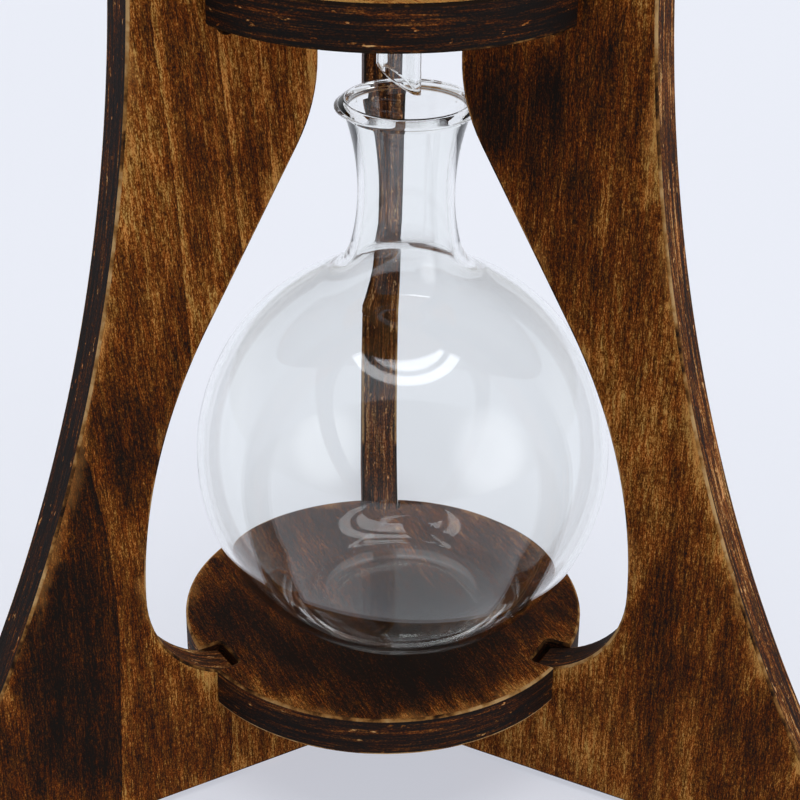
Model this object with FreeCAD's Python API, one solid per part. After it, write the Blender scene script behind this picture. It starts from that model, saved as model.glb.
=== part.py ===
import FreeCAD, Part
import math
import os
from FreeCAD import Vector

# Cold drip coffee tower.  Three plywood legs carry three round shelves.  A water globe with a
# stopcock drips into a coffee chamber, and the chamber's tube drips into a flask.
# Millimetres, +Z up.  The origin is on the tower's axis, on the surface that it stands on.
# The tower is seen from -Y: one leg is at the back and two flank the flask.

# ---- driving dimensions: plywood frame ----
ply = 12.0                      # thickness of every leg and shelf
joint_gap = 0.1                 # air at the sides of a slot and over a shelf in its notch
pad_thickness = 2.0             # rubber pad under each foot
pad_length = 26.0
pad_width = 9.0
pad_setback = 14.0              # toe of the leg to the pad
web_depth = 27.5                # height of the leg's foot under the lower shelf
toe_round = 4.0
claw_width = 15.6               # width of a leg beside the globe
claw_gap = 3.5                  # air between the globe and a leg
claw_rise = 9.0                 # straight part of a claw over the globe's middle
foot_sweep = 480.0              # radius of the outer edge where it flares to the foot
flare_rise = 23.3               # the flare begins this far over the middle shelf
lap_depth = 6.2                 # shelf slot and leg notch take this much of the shelf's rim
slot_corner = 1.5               # rounding in the inner corners of a shelf slot
relief_radius = 2.5             # tool relief in the inner corners of a leg notch
shelf_ease = 0.8                # sanded rim of a shelf
shelf_setback = 19.4            # outer edge of a leg to the rims of the middle and upper shelves

# ---- driving dimensions: inner edge of a leg ----
nose_reach = 24.4               # axis to the nose under the middle shelf and to the foot's end
nose_depth = 12.7               # upright part of the nose
nose_round = 44.0
window_sweep = 150.0            # long curve beside the flask
window_corner = 34.0            # curve that runs down to the lower shelf
window_gap = 14.8               # widest air between the flask and a leg
sill_step = 0.7                 # leg's inner edge stands this far outside the lower shelf's rim
post_width = 25.0               # width of a leg beside the coffee chamber
jaw_width = 11.0                # part of a leg over the middle shelf, inward of its notch
jaw_height = 7.0
brow_width = 14.5               # part of a leg under the upper shelf, inward of its notch
brow_height = 7.0
crest_width = 6.0               # part of a leg over the upper shelf, inward of its notch
post_bend = 20.0                # curves between the post and its jaws

# ---- driving dimensions: serving flask ----
flask_radius = 60.0
flask_wall = 1.8
flask_base_radius = 28.4        # flat that the flask stands on
flask_base_thickness = 3.0
flask_neck_foot = 18.0          # outside radius where the neck leaves the body
flask_throat = 13.4             # outside radius at the narrowest
flask_throat_rise = 20.6        # top of the ball to the narrowest
flask_neck_length = 47.35       # top of the ball to the rim
flask_collar = 17.4             # outside radius just under the lip
flask_lip_radius = 20.3
flask_lip_thickness = 3.2
flask_lip_round = 1.2           # inner edge of the rim
flask_shoulder_round = 8.0
flask_offset = 5.3              # the flask stands this far to the right of the axis
rest_gap = 0.2                  # air under what stands or sits on another piece

# ---- driving dimensions: coffee chamber ----
chamber_radius = 33.0
chamber_wall = 2.0
chamber_length = 105.0          # straight wall
chamber_offset = 2.9            # the chamber stands this far to the right of the axis
chamber_bend = 6.0              # rounding between the cone and the straight wall
tube_radius = 6.0
tube_bore = 4.25
tube_drop = 28.9                # lowest point of the tube under the middle shelf
tube_slant = 8.6                # height of the slanting cut at the tube's end
tip_gap = 0.4                   # the tube clears the flask's rim by this much
seat_mouth = 25.7               # radius of the cone where it enters its seat
seat_flange = 3.0
seat_flange_width = 5.0
seat_sleeve = 8.0               # depth of the seat in the shelf's hole
seat_wall = 0.3                 # least wall of the sleeve beside the cone's widest part
seat_air = 0.3                  # air between glass and its silicone seat
filter_thickness = 1.2
filter_hole = 0.9
filter_pitch = 5.6
filter_rings = 4
filter_seal_width = 4.0
filter_seal_height = 4.4
filter_grip = 1.6               # depth of the groove that holds the filter's rim

# ---- driving dimensions: water globe and stopcock ----
globe_radius = 56.5
globe_wall = 2.0
globe_blend = 6.0               # glass rounding between the globe and its necks
mouth_radius = 24.0             # outside of the filling mouth
mouth_rise = 9.0                # top of the globe to the mouth's rim
stem_radius = 7.0               # outside of the neck under the globe
stem_bore = 3.0
drip_gap = 50.0                 # coffee chamber's rim to the drip tip
drip_length = 20.0              # stopcock barrel to the end of the tip
drip_radius = 2.6
drip_shoulder = 4.5
drip_bore = 1.2
barrel_radius = 8.0
barrel_length = 26.0
barrel_headroom = 14.0          # stopcock barrel to the upper shelf
globe_seat_bore = 30.0
globe_seat_wall = 2.0
globe_seat_flange = 38.0
globe_seat_rise = 6.0
globe_seat_lip = 1.0            # the glass meets the seat's bore this far over the shelf
key_radius = 4.5
key_fit = 0.05                  # running clearance of the key in its barrel
key_collar_radius = 8.0
key_collar = 2.0
key_port = 1.25
handle_length = 18.0
handle_height = 8.0
handle_depth = 9.0
handle_round = 3.0
washer_radius = 7.5
washer_thickness = 1.2
ring_section = 1.1
nut_radius = 8.0
nut_thickness = 6.0
nut_grips = 12
nut_grip_radius = 0.9
part_air = 0.1                  # air between pieces that stack on the key

# ---- driving dimensions: globe lid ----
lid_radius = 31.0
lid_thickness = 9.0
lid_round = 2.0
plug_air = 0.8                  # air between the plug and the mouth
plug_thickness = 6.0
lid_seal_thickness = 2.0
knob_radius = 10.0
knob_waist = 6.5
knob_height = 20.0
screw_radius = 2.0
screw_head_radius = 4.0
screw_head_height = 2.4
screw_reach = 12.0              # thread inside the knob
screw_slot = 1.0

# ---- places that follow from the dimensions ----
leg_azimuths = {}
for name in ["leg_back", "leg_front_left", "leg_front_right"]:
    leg_azimuths[name] = 90 + len(leg_azimuths) * 360 / 3

lower_shelf_radius = flask_radius        # the lower shelf is as wide as the flask
leg_bottom = pad_thickness
lower_shelf_bottom = leg_bottom + web_depth
lower_shelf_top = lower_shelf_bottom + ply

flask_floor = lower_shelf_top + rest_gap
flask_centre = flask_floor + math.sqrt(flask_radius ** 2 - flask_base_radius ** 2)
flask_rim = flask_centre + flask_radius + flask_neck_length

tube_tip = flask_rim + tip_gap
middle_shelf_bottom = tube_tip + tube_drop
middle_shelf_top = middle_shelf_bottom + ply

cone_start = middle_shelf_top + seat_flange - (seat_mouth - tube_radius)
cone_end = cone_start + chamber_radius - tube_radius
chamber_rim = cone_end + chamber_length

drip_tip = chamber_rim + drip_gap
barrel_height = drip_tip + drip_length + barrel_radius
upper_shelf_bottom = barrel_height + barrel_radius + barrel_headroom
upper_shelf_top = upper_shelf_bottom + ply

globe_centre = upper_shelf_top + globe_seat_lip + math.sqrt(globe_radius ** 2 - globe_seat_bore ** 2)
mouth_rim = globe_centre + globe_radius + mouth_rise

claw_radius = globe_radius + claw_gap
leg_outer_radius = claw_radius + claw_width
middle_shelf_radius = leg_outer_radius - shelf_setback
upper_shelf_radius = leg_outer_radius - shelf_setback
post_radius = leg_outer_radius - post_width
window_radius = flask_radius + flask_offset + window_gap
flare_height = middle_shelf_top + flare_rise


class Outline:
    """A closed outline in the plane of radius and height, drawn edge by edge."""

    def __init__(self, radius, height):
        self.here = Vector(radius, 0, height)
        self.start = self.here
        self.edges = []

    def line(self, radius, height):
        """Draw a straight edge to a point."""
        there = Vector(radius, 0, height)
        self.edges.append(Part.LineSegment(self.here, there).toShape())
        self.here = there

    def arc(self, centre_radius, centre_height, sweep):
        """Draw an arc about a centre, by an angle in radians, anticlockwise if positive."""
        centre = Vector(centre_radius, 0, centre_height)
        spoke = self.here - centre
        middle = centre + turned(spoke, sweep / 2)
        there = centre + turned(spoke, sweep)
        self.edges.append(Part.Arc(self.here, middle, there).toShape())
        self.here = there

    def jog_down(self, radius, bend):
        """Draw two equal arcs that shift a downward edge to another radius."""
        side = math.copysign(1.0, radius - self.here.x)
        sweep = side * math.acos(1 - abs(radius - self.here.x) / (2 * bend))
        self.arc(self.here.x + side * bend, self.here.z, sweep)
        self.arc(radius - side * bend, self.here.z - bend * math.sin(abs(sweep)), -sweep)

    def face(self):
        """Close the outline and fill it."""
        if self.here.distanceToPoint(self.start) > 1e-6:
            self.line(self.start.x, self.start.z)
        return Part.Face(Part.Wire(self.edges))

    def solid(self):
        """Revolve the outline about the Z axis."""
        return self.face().revolve(Vector(0, 0, 0), Vector(0, 0, 1), 360)


def turned(spoke, angle):
    """Turn a vector in the plane of radius and height."""
    cosine = math.cos(angle)
    sine = math.sin(angle)
    return Vector(spoke.x * cosine - spoke.z * sine, 0, spoke.x * sine + spoke.z * cosine)


def disc(radius, bottom, top):
    """Upright cylinder on the Z axis between two heights."""
    return Part.makeCylinder(radius, top - bottom, Vector(0, 0, bottom))


def ring(inner, outer, bottom, top):
    """Flat ring on the Z axis between two heights."""
    return disc(outer, bottom, top).cut(disc(inner, bottom, top))


def lengthwise(radius, front, back):
    """Cylinder along Y at the height of the stopcock barrel."""
    return Part.makeCylinder(radius, back - front, Vector(0, front, barrel_height), Vector(0, 1, 0))


def round_edges(shape, radius, places):
    """Fillet the circular edges that pass through the given points of radius and height."""
    chosen = []
    for edge in shape.Edges:
        point = edge.valueAt(edge.FirstParameter)
        for place in places:
            reach = math.hypot(point.x, point.y)
            if math.hypot(reach - place[0], point.z - place[1]) < 1e-4:
                chosen.append(edge)
                break
    return shape.makeFillet(radius, chosen)


# ---- plywood frame ----
def leg_notch(shelf_radius):
    """Radius of the inner end of the notch that takes a shelf."""
    return shelf_radius - lap_depth


def leg_outline():
    """Side view of a leg, from its foot round the outer edge and back down the inner edge."""
    foot_angle = math.asin((flare_height - leg_bottom) / foot_sweep)
    toe = leg_outer_radius + foot_sweep * (1 - math.cos(foot_angle))
    leg = Outline(nose_reach, leg_bottom)
    leg.line(toe, leg_bottom)
    leg.arc(leg_outer_radius + foot_sweep, flare_height, -foot_angle)
    leg.line(leg_outer_radius, globe_centre + claw_rise)
    leg.arc(claw_radius + claw_width / 2, globe_centre + claw_rise, math.pi)
    leg.line(claw_radius, globe_centre)

    upper_notch = leg_notch(upper_shelf_radius)
    crest = upper_notch - crest_width
    leg.arc(0, globe_centre, -math.acos(crest / claw_radius))
    leg.line(crest, upper_shelf_top + joint_gap)
    leg.line(upper_notch, upper_shelf_top + joint_gap)
    leg.line(upper_notch, upper_shelf_bottom)
    leg.line(upper_notch - brow_width, upper_shelf_bottom)
    leg.line(upper_notch - brow_width, upper_shelf_bottom - brow_height)
    leg.jog_down(post_radius, post_bend)

    middle_notch = leg_notch(middle_shelf_radius)
    jaw = middle_notch - jaw_width
    jaw_jog = post_bend * math.sin(math.acos(1 - (post_radius - jaw) / (2 * post_bend)))
    leg.line(post_radius, middle_shelf_top + jaw_height + 2 * jaw_jog)
    leg.jog_down(jaw, post_bend)
    leg.line(jaw, middle_shelf_top + joint_gap)
    leg.line(middle_notch, middle_shelf_top + joint_gap)
    leg.line(middle_notch, middle_shelf_bottom)
    leg.line(nose_reach, middle_shelf_bottom)
    leg.line(nose_reach, middle_shelf_bottom - nose_depth)
    flask_window(leg)
    leg.line(leg_notch(lower_shelf_radius), lower_shelf_bottom)
    leg.line(nose_reach, lower_shelf_bottom)
    return leg, toe


def flask_window(leg):
    """Draw the inner edge beside the flask: nose, straight slope, long curve, corner."""
    nose_centre = Vector(nose_reach + nose_round, 0, middle_shelf_bottom - nose_depth)
    corner_radius = window_radius - window_corner
    sill = lower_shelf_radius + sill_step - corner_radius
    widest = lower_shelf_top + math.sqrt(window_corner ** 2 - sill ** 2)
    sweep_centre = Vector(window_radius - window_sweep, 0, widest)
    apart = nose_centre - sweep_centre
    slope = math.atan2(apart.z, apart.x) - math.acos((nose_round + window_sweep) / apart.Length)
    leg.arc(nose_centre.x, nose_centre.z, slope)
    leg.line(sweep_centre.x + window_sweep * math.cos(slope), widest + window_sweep * math.sin(slope))
    leg.arc(sweep_centre.x, widest, -slope)
    notch = leg_notch(lower_shelf_radius) - corner_radius
    leg.arc(corner_radius, widest, -math.acos(notch / window_corner))


def make_leg():
    """One leg as an upright plate in the XZ plane, with its foot towards +X."""
    outline, toe = leg_outline()
    leg = outline.face().extrude(Vector(0, ply, 0))
    leg.translate(Vector(0, -ply / 2, 0))
    corners = [(leg_notch(middle_shelf_radius), middle_shelf_bottom)]
    corners.append((leg_notch(middle_shelf_radius), middle_shelf_top))
    corners.append((leg_notch(upper_shelf_radius), upper_shelf_bottom))
    corners.append((leg_notch(upper_shelf_radius), upper_shelf_top))
    for radius, height in corners:
        relief = Part.makeCylinder(relief_radius, ply, Vector(radius, -ply / 2, height), Vector(0, 1, 0))
        leg = leg.cut(relief)
    toes = []
    for edge in leg.Edges:
        if edge.BoundBox.XMin > toe - 0.01:
            toes.append(edge)
    return leg.makeFillet(toe_round, toes), toe


def make_shelf(radius, bottom):
    """Round shelf with a slot in its rim for each leg."""
    shelf = round_edges(disc(radius, bottom, bottom + ply), shelf_ease, [(radius, bottom), (radius, bottom + ply)])
    slot_end = leg_notch(radius) - slot_corner
    slot_width = ply + 2 * joint_gap
    slot = Part.makeBox(radius, slot_width, ply, Vector(slot_end, -slot_width / 2, bottom))
    corners = []
    for edge in slot.Edges:
        if edge.BoundBox.XMax < slot_end + 0.01 and edge.BoundBox.ZLength > ply / 2:
            corners.append(edge)
    slot = slot.makeFillet(slot_corner, corners)
    for azimuth in leg_azimuths.values():
        shelf = shelf.cut(slot.rotated(Vector(0, 0, 0), Vector(0, 0, 1), azimuth))
    return shelf


def make_pad(toe):
    """Rubber pad under the foot of the leg that points to +X."""
    corner = Vector(toe - pad_setback - pad_length, -pad_width / 2, 0)
    pad = Part.makeBox(pad_length, pad_width, pad_thickness, corner)
    upright = []
    for edge in pad.Edges:
        if edge.BoundBox.ZLength > pad_thickness / 2:
            upright.append(edge)
    return pad.makeFillet(pad_width / 3, upright)


def make_frame():
    """Legs, shelves and foot pads."""
    nodes = {}
    leg, toe = make_leg()
    pad = make_pad(toe)
    for name, azimuth in leg_azimuths.items():
        nodes[name] = leg.rotated(Vector(0, 0, 0), Vector(0, 0, 1), azimuth)
        nodes[name.replace("leg", "foot_pad")] = pad.rotated(Vector(0, 0, 0), Vector(0, 0, 1), azimuth)
    nodes["lower_shelf"] = make_shelf(lower_shelf_radius, lower_shelf_bottom)
    chamber_hole = disc(chamber_hole_radius(), middle_shelf_bottom, middle_shelf_top)
    chamber_hole.translate(Vector(chamber_offset, 0, 0))
    nodes["middle_shelf"] = make_shelf(middle_shelf_radius, middle_shelf_bottom).cut(chamber_hole)
    globe_hole = disc(globe_seat_bore + globe_seat_wall, upper_shelf_bottom, upper_shelf_top)
    nodes["upper_shelf"] = make_shelf(upper_shelf_radius, upper_shelf_bottom).cut(globe_hole)
    return nodes


# ---- serving flask ----
def flask_outline(inset):
    """Outside of the flask, or its inside when inset by the wall, as a filled shape."""
    ball = flask_radius - inset
    neck_foot = flask_neck_foot - inset
    throat = flask_throat - inset
    collar = flask_collar - inset
    foot_height = flask_centre + math.sqrt(ball ** 2 - neck_foot ** 2)
    throat_height = flask_centre + flask_radius + flask_throat_rise
    collar_height = flask_rim - flask_lip_thickness
    floor = flask_floor
    if inset > 0:
        floor = flask_floor + flask_base_thickness
    floor_radius = math.sqrt(ball ** 2 - (flask_centre - floor) ** 2)
    start_angle = math.atan2(floor - flask_centre, floor_radius)
    foot_angle = math.atan2(foot_height - flask_centre, neck_foot)
    shape = Outline(0, floor)
    shape.line(floor_radius, floor)
    shape.arc(0, flask_centre, foot_angle - start_angle)
    waist = arc_radius(neck_foot - throat, throat_height - foot_height)
    shape.arc(throat + waist, throat_height, -math.asin((throat_height - foot_height) / waist))
    flare = arc_radius(collar - throat, collar_height - throat_height)
    shape.arc(throat + flare, throat_height, -math.asin((collar_height - throat_height) / flare))
    if inset > 0:
        shape.line(collar, flask_rim)
    else:
        bead = flask_lip_thickness / 2
        shape.line(flask_lip_radius - bead, collar_height)
        shape.arc(flask_lip_radius - bead, flask_rim - bead, math.pi)
    shape.line(0, flask_rim)
    places = [(neck_foot, foot_height)]
    return round_edges(shape.solid(), flask_shoulder_round, places)


def arc_radius(shift, rise):
    """Radius of an arc that leaves upright and shifts sideways over a rise."""
    return (shift ** 2 + rise ** 2) / (2 * shift)


def make_flask():
    """Thin glass ball with a flat foot, a waisted neck and a thick flared lip."""
    flask = flask_outline(0).cut(flask_outline(flask_wall))
    inner = flask_collar - flask_wall
    flask = round_edges(flask, flask_lip_round, [(inner, flask_rim)])
    flask.translate(Vector(flask_offset, 0, 0))
    return flask


# ---- coffee chamber ----
def chamber_hole_radius():
    """Hole in the middle shelf for the chamber's seat."""
    return seat_mouth + seat_wall


def make_chamber():
    """Open glass cylinder with a 45 degree cone and a drip tube cut aslant."""
    inner_radius = chamber_radius - chamber_wall
    inner_rise = chamber_wall * math.sqrt(2)
    inner_corner = cone_start + inner_radius - tube_radius + inner_rise
    glass = Outline(tube_bore, tube_tip)
    glass.line(tube_radius, tube_tip)
    glass.line(tube_radius, cone_start)
    glass.line(chamber_radius, cone_end)
    glass.line(chamber_radius, chamber_rim - chamber_wall / 2)
    glass.arc(chamber_radius - chamber_wall / 2, chamber_rim - chamber_wall / 2, math.pi)
    glass.line(inner_radius, inner_corner)
    glass.line(tube_bore, cone_start + tube_bore - tube_radius + inner_rise)
    places = [(chamber_radius, cone_end), (inner_radius, inner_corner)]
    chamber = round_edges(glass.solid(), chamber_bend, places)
    slope = tube_slant / (2 * tube_radius)
    reach = 1.5 * tube_radius
    below = tube_tip - tube_slant
    middle = tube_tip + tube_slant / 2
    slant = Outline(-reach, below)
    slant.line(reach, below)
    slant.line(reach, middle - slope * reach)
    slant.line(-reach, middle + slope * reach)
    waste = slant.face().extrude(Vector(0, 2 * reach, 0))
    waste.translate(Vector(0, -reach, 0))
    return chamber.cut(waste)


def make_chamber_seat():
    """Silicone ring with a conical bore that the chamber's cone rests in."""
    bottom = middle_shelf_top - seat_sleeve
    top = middle_shelf_top + seat_flange
    sleeve = chamber_hole_radius() - joint_gap / 2
    bore_air = seat_air * math.sqrt(2)
    seat = Outline(tube_radius + bottom - cone_start + bore_air, bottom)
    seat.line(sleeve, bottom)
    seat.line(sleeve, middle_shelf_top)
    seat.line(chamber_hole_radius() + seat_flange_width, middle_shelf_top)
    seat.line(chamber_hole_radius() + seat_flange_width, top)
    seat.line(seat_mouth + bore_air, top)
    return seat.solid()


def make_filter():
    """Perforated steel disc and the silicone ring that holds it in the chamber."""
    inner_radius = chamber_radius - chamber_wall
    corner = cone_start + inner_radius - tube_radius + chamber_wall * math.sqrt(2)
    bottom = corner + chamber_bend * math.tan(math.radians(22.5)) + joint_gap
    outer = inner_radius - seat_air
    inner = outer - filter_seal_width
    middle = bottom + filter_seal_height / 2
    rim = inner + filter_grip
    low = middle - filter_thickness / 2
    high = middle + filter_thickness / 2
    seal = ring(inner, outer, bottom, bottom + filter_seal_height)
    seal = seal.cut(disc(rim + joint_gap, low - joint_gap, high + joint_gap))
    screen = disc(rim, low, high)
    holes = [disc(filter_hole, low, high)]
    for ring_number in range(1, filter_rings + 1):
        count = 6 * ring_number
        for place in range(count):
            hole = disc(filter_hole, low, high)
            hole.translate(Vector(ring_number * filter_pitch, 0, 0))
            holes.append(hole.rotated(Vector(0, 0, 0), Vector(0, 0, 1), place * 360 / count))
    return screen.cut(holes), seal


def make_chamber_group():
    """Chamber, its seat and the filter inside it."""
    nodes = {"coffee_chamber": make_chamber(), "chamber_seat": make_chamber_seat()}
    nodes["filter_screen"], nodes["filter_seal"] = make_filter()
    for shape in nodes.values():
        shape.translate(Vector(chamber_offset, 0, 0))
    return nodes


# ---- water globe ----
def globe_skin(inset, stem, stem_end, mouth_end):
    """Ball with a mouth over it and a stem under it, as a filled shape."""
    ball = globe_radius - inset
    blend = globe_blend + inset
    mouth = mouth_radius - inset
    low_rise = math.sqrt((ball + blend) ** 2 - (stem + blend) ** 2)
    high_rise = math.sqrt((ball + blend) ** 2 - (mouth + blend) ** 2)
    low_angle = math.atan2(low_rise, stem + blend)
    high_angle = math.atan2(high_rise, mouth + blend)
    shape = Outline(0, stem_end)
    shape.line(stem, stem_end)
    shape.line(stem, globe_centre - low_rise)
    shape.arc(stem + blend, globe_centre - low_rise, -low_angle)
    shape.arc(0, globe_centre, low_angle + high_angle)
    shape.arc(mouth + blend, globe_centre + high_rise, -high_angle)
    shape.line(mouth, mouth_end)
    shape.line(0, mouth_end)
    return shape.solid()


def make_globe():
    """Water globe in one piece of glass with its stopcock barrel and drip tip."""
    glass = globe_skin(0, stem_radius, barrel_height, mouth_rim)
    glass = glass.fuse(lengthwise(barrel_radius, -barrel_length / 2, barrel_length / 2))
    tip = Outline(0, drip_tip)
    tip.line(drip_radius, drip_tip)
    tip.line(drip_shoulder, drip_tip + drip_length / 2)
    tip.line(drip_shoulder, barrel_height)
    tip.line(0, barrel_height)
    glass = glass.fuse(tip.solid()).removeSplitter()
    glass = glass.cut(globe_skin(globe_wall, stem_bore, barrel_height, mouth_rim))
    glass = glass.cut(disc(drip_bore, drip_tip, barrel_height))
    bore = lengthwise(key_radius + key_fit, -barrel_length / 2, barrel_length / 2)
    glass = glass.cut(bore)
    lip = globe_wall / 2.5
    return round_edges(glass, lip, [(mouth_radius, mouth_rim), (mouth_radius - globe_wall, mouth_rim)])


def make_globe_seat():
    """Silicone ring in the upper shelf's hole, hollowed to the globe."""
    bottom = upper_shelf_bottom
    top = upper_shelf_top + globe_seat_rise
    sleeve = ring(globe_seat_bore, globe_seat_bore + globe_seat_wall - joint_gap / 2, bottom, upper_shelf_top)
    seat = sleeve.fuse(ring(globe_seat_bore, globe_seat_flange, upper_shelf_top, top))
    return seat.cut(Part.makeSphere(globe_radius + seat_air, Vector(0, 0, globe_centre))).removeSplitter()


def stopcock_places():
    """Where the pieces on the key begin, from the front of the barrel to the back."""
    front = -barrel_length / 2 - part_air
    washer = barrel_length / 2 + part_air
    o_ring = washer + washer_thickness + part_air
    nut = o_ring + 2 * ring_section + part_air
    return front, washer, o_ring, nut


def make_stopcock():
    """Key with its grip, and the washer, O-ring and nut that hold it."""
    front, washer, o_ring, nut = stopcock_places()
    shaft = lengthwise(key_radius, front, nut + nut_thickness)
    collar = lengthwise(key_collar_radius, front - key_collar, front)
    corner = Vector(-handle_length / 2, front - key_collar - handle_depth, barrel_height - handle_height / 2)
    grip = Part.makeBox(handle_length, handle_depth, handle_height, corner)
    ends = []
    for edge in grip.Edges:
        if edge.BoundBox.YLength < 0.01 and edge.BoundBox.YMin < corner.y + 0.01:
            ends.append(edge)
        elif edge.BoundBox.YLength > handle_depth / 2:
            ends.append(edge)
    grip = grip.makeFillet(handle_round, ends)
    key = shaft.fuse([collar, grip]).removeSplitter()
    port = Part.makeCylinder(key_port, 2 * key_radius, Vector(-key_radius, 0, barrel_height), Vector(1, 0, 0))
    nodes = {"stopcock_key": key.cut(port)}
    hole = key_radius + part_air
    nodes["key_washer"] = lengthwise(washer_radius, washer, washer + washer_thickness).cut(
        lengthwise(hole, washer, washer + washer_thickness))
    o_ring_place = Vector(0, o_ring + ring_section, barrel_height)
    nodes["key_o_ring"] = Part.makeTorus(hole + ring_section, ring_section, o_ring_place, Vector(0, 1, 0))
    knob = lengthwise(nut_radius, nut, nut + nut_thickness - part_air)
    knob = knob.cut(lengthwise(hole, nut, nut + nut_thickness))
    grips = []
    for number in range(nut_grips):
        angle = 2 * math.pi * number / nut_grips
        place = Vector(nut_radius * math.cos(angle), nut, barrel_height + nut_radius * math.sin(angle))
        grips.append(Part.makeCylinder(nut_grip_radius, nut_thickness, place, Vector(0, 1, 0)))
    nodes["key_nut"] = knob.cut(grips)
    return nodes


# ---- globe lid ----
def make_lid():
    """Plywood lid with its plug, seal, knob and screw."""
    seal_bottom = mouth_rim + rest_gap
    lid_bottom = seal_bottom + lid_seal_thickness
    lid_top = lid_bottom + lid_thickness
    plug_radius = mouth_radius - globe_wall - plug_air
    plug_bottom = lid_bottom - plug_thickness
    shank = disc(screw_radius + joint_gap, plug_bottom, lid_top)
    lid = disc(lid_radius, lid_bottom, lid_top)
    lid = round_edges(lid, lid_round, [(lid_radius, lid_bottom), (lid_radius, lid_top)])
    nodes = {"globe_lid": lid.cut(shank)}
    head_room = disc(screw_head_radius + joint_gap, plug_bottom, plug_bottom + screw_head_height)
    plug = disc(plug_radius, plug_bottom, lid_bottom)
    plug = round_edges(plug, lid_round / 2, [(plug_radius, plug_bottom)])
    nodes["lid_plug"] = plug.cut([shank, head_room])
    nodes["lid_seal"] = ring(plug_radius + joint_gap, mouth_radius, seal_bottom, lid_bottom)
    nodes["lid_knob"] = make_knob(lid_top)
    head_top = plug_bottom + screw_head_height
    screw = disc(screw_radius, head_top, lid_top + screw_reach)
    screw = screw.fuse(disc(screw_head_radius, plug_bottom, head_top))
    slot_box = Part.makeBox(2 * screw_head_radius, screw_slot, screw_slot,
                            Vector(-screw_head_radius, -screw_slot / 2, plug_bottom))
    nodes["lid_screw"] = screw.cut(slot_box)
    return nodes


def make_knob(bottom):
    """Turned knob with a waist and a domed top."""
    crown = knob_height - knob_radius / 2
    groove = knob_radius - knob_waist
    shape = Outline(0, bottom)
    shape.line(knob_radius - groove / 2, bottom)
    shape.line(knob_waist, bottom + groove)
    shape.line(knob_waist, bottom + crown - 2 * groove)
    shape.arc(knob_waist + groove, bottom + crown - 2 * groove, -math.pi / 2)
    shape.line(knob_radius, bottom + crown)
    dome = (knob_radius ** 2 + (knob_radius / 2) ** 2) / knob_radius
    shape.arc(0, bottom + knob_height - dome, math.asin(knob_radius / dome))
    knob = shape.solid()
    return knob.cut(disc(screw_radius + joint_gap / 2, bottom, bottom + screw_reach + 1))


def build():
    """Every node of the tower by name."""
    nodes = make_frame()
    nodes["serving_flask"] = make_flask()
    nodes.update(make_chamber_group())
    nodes["water_globe"] = make_globe()
    nodes["globe_seat"] = make_globe_seat()
    nodes.update(make_stopcock())
    nodes.update(make_lid())
    return nodes


os.makedirs("parts", exist_ok=True)
for name, shape in build().items():
    shape.exportStep("parts/" + name + ".step")
    print(name, len(shape.Solids), round(shape.Volume), shape.isValid())
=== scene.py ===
import math

import bmesh
import bpy
from mathutils import Matrix, Vector
from mathutils.geometry import delaunay_2d_cdt
from mathutils.kdtree import KDTree


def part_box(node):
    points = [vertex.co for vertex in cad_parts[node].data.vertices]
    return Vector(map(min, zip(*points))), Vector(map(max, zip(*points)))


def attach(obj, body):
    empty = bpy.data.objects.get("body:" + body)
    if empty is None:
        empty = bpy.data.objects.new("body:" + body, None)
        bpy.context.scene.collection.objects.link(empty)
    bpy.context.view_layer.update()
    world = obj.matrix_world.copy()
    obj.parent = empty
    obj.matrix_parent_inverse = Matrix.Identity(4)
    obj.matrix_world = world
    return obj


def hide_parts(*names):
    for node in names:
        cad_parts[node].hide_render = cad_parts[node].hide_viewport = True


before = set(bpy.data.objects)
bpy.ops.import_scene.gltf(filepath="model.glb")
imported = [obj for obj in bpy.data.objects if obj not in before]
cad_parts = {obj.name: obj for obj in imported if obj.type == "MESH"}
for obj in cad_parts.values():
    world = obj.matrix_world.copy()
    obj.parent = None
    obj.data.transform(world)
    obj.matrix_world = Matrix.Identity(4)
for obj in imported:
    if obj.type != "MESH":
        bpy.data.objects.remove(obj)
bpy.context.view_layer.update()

# Looks of the cold drip coffee tower.  Metres, +Z up, the origin on the tower's axis on the floor.
scene = bpy.context.scene
MM = 0.001

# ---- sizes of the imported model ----
lower_low, lower_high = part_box("lower_shelf")
middle_low, middle_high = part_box("middle_shelf")
upper_low, upper_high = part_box("upper_shelf")
flask_low, flask_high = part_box("serving_flask")
chamber_low, chamber_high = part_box("coffee_chamber")
globe_low, globe_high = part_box("water_globe")
lid_low, lid_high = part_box("globe_lid")
plug_low, plug_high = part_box("lid_plug")
knob_low, knob_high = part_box("lid_knob")
leg_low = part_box("leg_back")[0]

ply = lower_high.z - lower_low.z
flask_radius = (flask_high.x - flask_low.x) / 2
flask_x = (flask_high.x + flask_low.x) / 2
chamber_radius = (chamber_high.x - chamber_low.x) / 2
chamber_x = (chamber_high.x + chamber_low.x) / 2

# ---- sizes of the plywood ----
lap_depth = 6.2 * MM
slot_corner = 1.5 * MM
relief_radius = 2.5 * MM
slot_air = 0.1 * MM
toe_round = 4 * MM
claw_width = 15.6 * MM
claw_gap = 3.5 * MM
claw_rise = 9 * MM
foot_sweep = 480 * MM
flare_rise = 23.3 * MM
nose_reach = 24.4 * MM
nose_depth = 12.7 * MM
nose_round = 44 * MM
window_sweep = 150 * MM
window_corner = 34 * MM
window_gap = 14.8 * MM
sill_step = 0.7 * MM
post_width = 25 * MM
jaw_width = 11 * MM
jaw_height = 7 * MM
brow_width = 14.5 * MM
brow_height = 7 * MM
crest_width = 6 * MM
post_bend = 20 * MM
chamber_hole = 26 * MM
globe_seat_bore = 30 * MM
globe_seat_wall = 2 * MM
globe_radius = 56.5 * MM
globe_seat_lip = 1 * MM

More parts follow.
